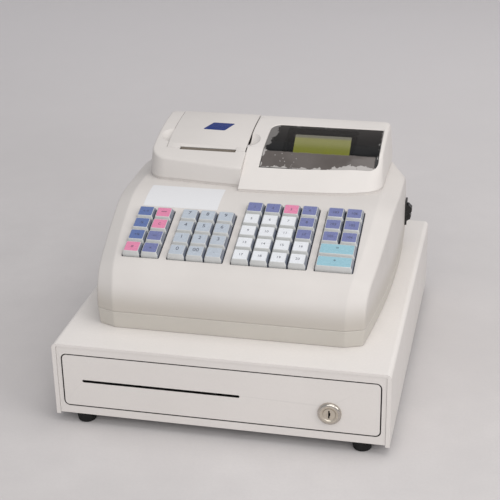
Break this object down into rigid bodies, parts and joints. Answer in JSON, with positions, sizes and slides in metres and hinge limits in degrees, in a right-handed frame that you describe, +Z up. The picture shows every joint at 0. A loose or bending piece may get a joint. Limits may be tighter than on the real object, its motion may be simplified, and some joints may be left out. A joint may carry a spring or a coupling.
{
  "type": "cash register on a cash drawer",
  "caption": "Electronic cash register with a sloping keyboard, printer lid and display window, standing on a steel cash drawer with a key lock.",
  "frame": {"origin": "centre of the footprint on the surface that the feet stand on", "axes": "+X to the right seen from the front, +Y to the back, +Z up"},
  "size_m": [0.34, 0.3812, 0.2351],
  "materials": {
    "case_paint": "smooth satin powder coat, cool off-white",
    "zinc_sheet": "bright zinc plated sheet",
    "till_plastic": "fine grained black moulding",
    "clip_plastic": "black moulding",
    "runner_nylon": "natural nylon",
    "lock_chrome": "polished chrome ring",
    "lock_nickel": "nickel plated",
    "coil_copper": "enamelled copper winding on a plated yoke",
    "spring_steel": "oiled spring wire",
    "foot_rubber": "black rubber",
    "screw_steel": "zinc plated",
    "lower_plastic": "fine grained beige plastic, a little darker than the body",
    "body_plastic": "fine grained warm off-white plastic",
    "display_plastic": "fine grained light off-white plastic",
    "window_plastic": "smoked glossy acrylic",
    "lcd_glass": "olive green display glass in a dark holder",
    "switch_plastic": "glossy black",
    "board_green": "green circuit board",
    "mat_rubber": "grey silicone mat",
    "frame_plastic": "dark grey-blue guide plate",
    "inlet_plastic": "black moulding",
    "mechanism_plastic": "dark grey moulding and plated plate",
    "platen_rubber": "ground rubber roller",
    "paper": "white thermal paper",
    "digit_key_plastic": "clear cap over a grey-blue insert",
    "left_key_plastic": "clear cap over a blue or pink insert",
    "dept_key_plastic": "clear cap over a white or coloured insert",
    "side_key_plastic": "clear cap over a violet-blue insert",
    "wide_key_plastic": "clear cap over a light blue insert"
  },
  "bodies": {
    "case": {"case_cover": "case_paint", "case_base": "zinc_sheet", "front_frame": "case_paint", "slide_rails": "zinc_sheet", "latch_solenoid": "coil_copper", "eject_spring": "spring_steel", "rubber_feet": "foot_rubber", "case_screws": "screw_steel", "lower_shell": "lower_plastic", "upper_shell": "body_plastic", "printer_housing": "body_plastic", "printer_mechanism": "mechanism_plastic", "display_housing": "display_plastic", "display_window": "window_plastic", "lcd_module": "lcd_glass", "switch_bezel": "switch_plastic", "main_board": "board_green", "key_board": "board_green", "key_mat": "mat_rubber", "key_frame": "frame_plastic", "power_inlet": "inlet_plastic", "shell_screws": "screw_steel"},
    "drawer": {"drawer_front": "case_paint", "drawer_box": "zinc_sheet", "till_tray": "till_plastic", "drawer_runners": "runner_nylon", "lock_bezel": "lock_chrome"},
    "clip_1": {"note_clip_1": "clip_plastic"},
    "clip_2": {"note_clip_2": "clip_plastic"},
    "clip_3": {"note_clip_3": "clip_plastic"},
    "clip_4": {"note_clip_4": "clip_plastic"},
    "lock": {"lock_plug": "lock_nickel", "lock_cam": "lock_nickel"},
    "latch": {"latch_hook": "zinc_sheet"},
    "lid": {"printer_lid": "body_plastic"},
    "platen": {"platen_roller": "platen_rubber"},
    "roll": {"paper_roll": "paper"},
    "rocker": {"power_rocker": "switch_plastic"},
    "key_7": {"key_7": "digit_key_plastic"},
    "key_8": {"key_8": "digit_key_plastic"},
    "key_9": {"key_9": "digit_key_plastic"},
    "key_4": {"key_4": "digit_key_plastic"},
    "key_5": {"key_5": "digit_key_plastic"},
    "key_6": {"key_6": "digit_key_plastic"},
    "key_1": {"key_1": "digit_key_plastic"},
    "key_2": {"key_2": "digit_key_plastic"},
    "key_3": {"key_3": "digit_key_plastic"},
    "key_0": {"key_0": "digit_key_plastic"},
    "key_00": {"key_00": "digit_key_plastic"},
    "key_point": {"key_point": "digit_key_plastic"},
    "left_keys_1": {"left_keys_1": "left_key_plastic"},
    "left_keys_2": {"left_keys_2": "left_key_plastic"},
    "dept_keys_1": {"dept_keys_1": "dept_key_plastic"},
    "dept_keys_2": {"dept_keys_2": "dept_key_plastic"},
    "dept_keys_3": {"dept_keys_3": "dept_key_plastic"},
    "dept_keys_4": {"dept_keys_4": "dept_key_plastic"},
    "side_keys_1": {"side_keys_1": "side_key_plastic"},
    "side_keys_2": {"side_keys_2": "side_key_plastic"},
    "wide_key_upper": {"wide_key_upper": "wide_key_plastic"},
    "wide_key_lower": {"wide_key_lower": "wide_key_plastic"}
  },
  "joints": [
    {"name": "drawer_slide", "type": "slide", "parent": "case", "child": "drawer", "axis": [0, -1, 0], "range_m": [0, 0.235]},
    {"name": "clip_1_lift", "type": "hinge", "parent": "drawer", "child": "clip_1", "pos_m": [-0.11295, 0.1578, 0.0584], "axis": [-1, 0, 0], "range_deg": [0, 40], "stiffness_Nm_per_rad": 0.05, "springref_deg": -57.3},
    {"name": "clip_2_lift", "type": "hinge", "parent": "drawer", "child": "clip_2", "pos_m": [-0.03765, 0.1578, 0.0584], "axis": [-1, 0, 0], "range_deg": [0, 40], "stiffness_Nm_per_rad": 0.05, "springref_deg": -57.3},
    {"name": "clip_3_lift", "type": "hinge", "parent": "drawer", "child": "clip_3", "pos_m": [0.03765, 0.1578, 0.0584], "axis": [-1, 0, 0], "range_deg": [0, 40], "stiffness_Nm_per_rad": 0.05, "springref_deg": -57.3},
    {"name": "clip_4_lift", "type": "hinge", "parent": "drawer", "child": "clip_4", "pos_m": [0.11295, 0.1578, 0.0584], "axis": [-1, 0, 0], "range_deg": [0, 40], "stiffness_Nm_per_rad": 0.05, "springref_deg": -57.3},
    {"name": "lock_turn", "type": "hinge", "parent": "drawer", "child": "lock", "pos_m": [0.111, -0.1796, 0.042], "axis": [0, -1, 0], "range_deg": [0, 90]},
    {"name": "latch_pivot", "type": "hinge", "parent": "case", "child": "latch", "pos_m": [0.042, 0.1749, 0.0512], "axis": [0, -1, 0], "range_deg": [0, 6]},
    {"name": "lid_hinge", "type": "hinge", "parent": "case", "child": "lid", "pos_m": [-0.066, 0.1224, 0.202], "axis": [-1, 0, 0], "range_deg": [0, 75]},
    {"name": "platen_spin", "type": "hinge", "parent": "lid", "child": "platen", "pos_m": [-0.0615, 0.0543, 0.211], "axis": [1, 0, 0], "continuous": true},
    {"name": "roll_spin", "type": "hinge", "parent": "case", "child": "roll", "pos_m": [-0.0615, 0.0864, 0.1848], "axis": [1, 0, 0], "continuous": true},
    {"name": "rocker_tilt", "type": "hinge", "parent": "case", "child": "rocker", "pos_m": [0.14553, 0.11576, 0.1324], "axis": [0.0461, -0.9989, 0], "range_deg": [0, 14]},
    {"name": "key_7_press", "type": "slide", "parent": "case", "child": "key_7", "axis": [0, 0.3173, -0.9483], "range_m": [0, 0.0025], "stiffness_N_per_m": 150, "springref_m": -0.004},
    {"name": "key_8_press", "type": "slide", "parent": "case", "child": "key_8", "axis": [0, 0.3173, -0.9483], "range_m": [0, 0.0025], "stiffness_N_per_m": 150, "springref_m": -0.004},
    {"name": "key_9_press", "type": "slide", "parent": "case", "child": "key_9", "axis": [0, 0.3173, -0.9483], "range_m": [0, 0.0025], "stiffness_N_per_m": 150, "springref_m": -0.004},
    {"name": "key_4_press", "type": "slide", "parent": "case", "child": "key_4", "axis": [0, 0.3173, -0.9483], "range_m": [0, 0.0025], "stiffness_N_per_m": 150, "springref_m": -0.004},
    {"name": "key_5_press", "type": "slide", "parent": "case", "child": "key_5", "axis": [0, 0.3173, -0.9483], "range_m": [0, 0.0025], "stiffness_N_per_m": 150, "springref_m": -0.004},
    {"name": "key_6_press", "type": "slide", "parent": "case", "child": "key_6", "axis": [0, 0.3173, -0.9483], "range_m": [0, 0.0025], "stiffness_N_per_m": 150, "springref_m": -0.004},
    {"name": "key_1_press", "type": "slide", "parent": "case", "child": "key_1", "axis": [0, 0.3173, -0.9483], "range_m": [0, 0.0025], "stiffness_N_per_m": 150, "springref_m": -0.004},
    {"name": "key_2_press", "type": "slide", "parent": "case", "child": "key_2", "axis": [0, 0.3173, -0.9483], "range_m": [0, 0.0025], "stiffness_N_per_m": 150, "springref_m": -0.004},
    {"name": "key_3_press", "type": "slide", "parent": "case", "child": "key_3", "axis": [0, 0.3173, -0.9483], "range_m": [0, 0.0025], "stiffness_N_per_m": 150, "springref_m": -0.004},
    {"name": "key_0_press", "type": "slide", "parent": "case", "child": "key_0", "axis": [0, 0.3173, -0.9483], "range_m": [0, 0.0025], "stiffness_N_per_m": 150, "springref_m": -0.004},
    {"name": "key_00_press", "type": "slide", "parent": "case", "child": "key_00", "axis": [0, 0.3173, -0.9483], "range_m": [0, 0.0025], "stiffness_N_per_m": 150, "springref_m": -0.004},
    {"name": "key_point_press", "type": "slide", "parent": "case", "child": "key_point", "axis": [0, 0.3173, -0.9483], "range_m": [0, 0.0025], "stiffness_N_per_m": 150, "springref_m": -0.004},
    {"name": "left_keys_1_press", "type": "slide", "parent": "case", "child": "left_keys_1", "axis": [0, 0.3173, -0.9483], "range_m": [0, 0.0025], "stiffness_N_per_m": 150, "springref_m": -0.004},
    {"name": "left_keys_2_press", "type": "slide", "parent": "case", "child": "left_keys_2", "axis": [0, 0.3173, -0.9483], "range_m": [0, 0.0025], "stiffness_N_per_m": 150, "springref_m": -0.004},
    {"name": "dept_keys_1_press", "type": "slide", "parent": "case", "child": "dept_keys_1", "axis": [0, 0.3173, -0.9483], "range_m": [0, 0.0025], "stiffness_N_per_m": 150, "springref_m": -0.004},
    {"name": "dept_keys_2_press", "type": "slide", "parent": "case", "child": "dept_keys_2", "axis": [0, 0.3173, -0.9483], "range_m": [0, 0.0025], "stiffness_N_per_m": 150, "springref_m": -0.004},
    {"name": "dept_keys_3_press", "type": "slide", "parent": "case", "child": "dept_keys_3", "axis": [0, 0.3173, -0.9483], "range_m": [0, 0.0025], "stiffness_N_per_m": 150, "springref_m": -0.004},
    {"name": "dept_keys_4_press", "type": "slide", "parent": "case", "child": "dept_keys_4", "axis": [0, 0.3173, -0.9483], "range_m": [0, 0.0025], "stiffness_N_per_m": 150, "springref_m": -0.004},
    {"name": "side_keys_1_press", "type": "slide", "parent": "case", "child": "side_keys_1", "axis": [0, 0.3173, -0.9483], "range_m": [0, 0.0025], "stiffness_N_per_m": 150, "springref_m": -0.004},
    {"name": "side_keys_2_press", "type": "slide", "parent": "case", "child": "side_keys_2", "axis": [0, 0.3173, -0.9483], "range_m": [0, 0.0025], "stiffness_N_per_m": 150, "springref_m": -0.004},
    {"name": "wide_key_upper_press", "type": "slide", "parent": "case", "child": "wide_key_upper", "axis": [0, 0.3173, -0.9483], "range_m": [0, 0.0025], "stiffness_N_per_m": 150, "springref_m": -0.004},
    {"name": "wide_key_lower_press", "type": "slide", "parent": "case", "child": "wide_key_lower", "axis": [0, 0.3173, -0.9483], "range_m": [0, 0.0025], "stiffness_N_per_m": 150, "springref_m": -0.004}
  ]
}
